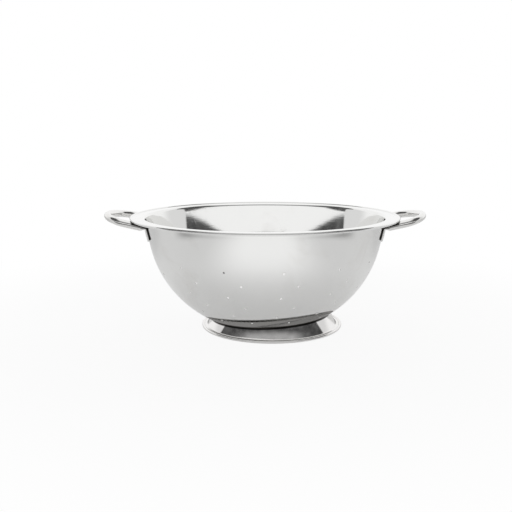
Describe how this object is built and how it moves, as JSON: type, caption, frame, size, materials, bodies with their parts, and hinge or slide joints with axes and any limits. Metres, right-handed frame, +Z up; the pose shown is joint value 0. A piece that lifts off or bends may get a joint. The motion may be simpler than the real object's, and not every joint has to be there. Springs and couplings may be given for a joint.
{
  "type": "colander",
  "caption": "Footed steel colander: round bowl with drain holes and a rolled rim, on a flared foot ring, with a tube loop handle on each side.",
  "frame": {"origin": "on the bowl's axis, on the surface that the foot ring stands on", "axes": "+Z up along the bowl's axis, +X towards one handle, +Y level across the handles"},
  "size_m": [0.3122, 0.26, 0.1134],
  "materials": {
    "bowl_steel": "mirror-polished stainless steel sheet with faint spin lines",
    "foot_steel": "mirror-polished stainless steel strip",
    "handle_steel": "polished stainless steel tube, satin at the squashed ends"
  },
  "bodies": {
    "root": {"bowl": "bowl_steel", "foot_ring": "foot_steel", "handle_right": "handle_steel", "handle_left": "handle_steel"}
  },
  "joints": []
}
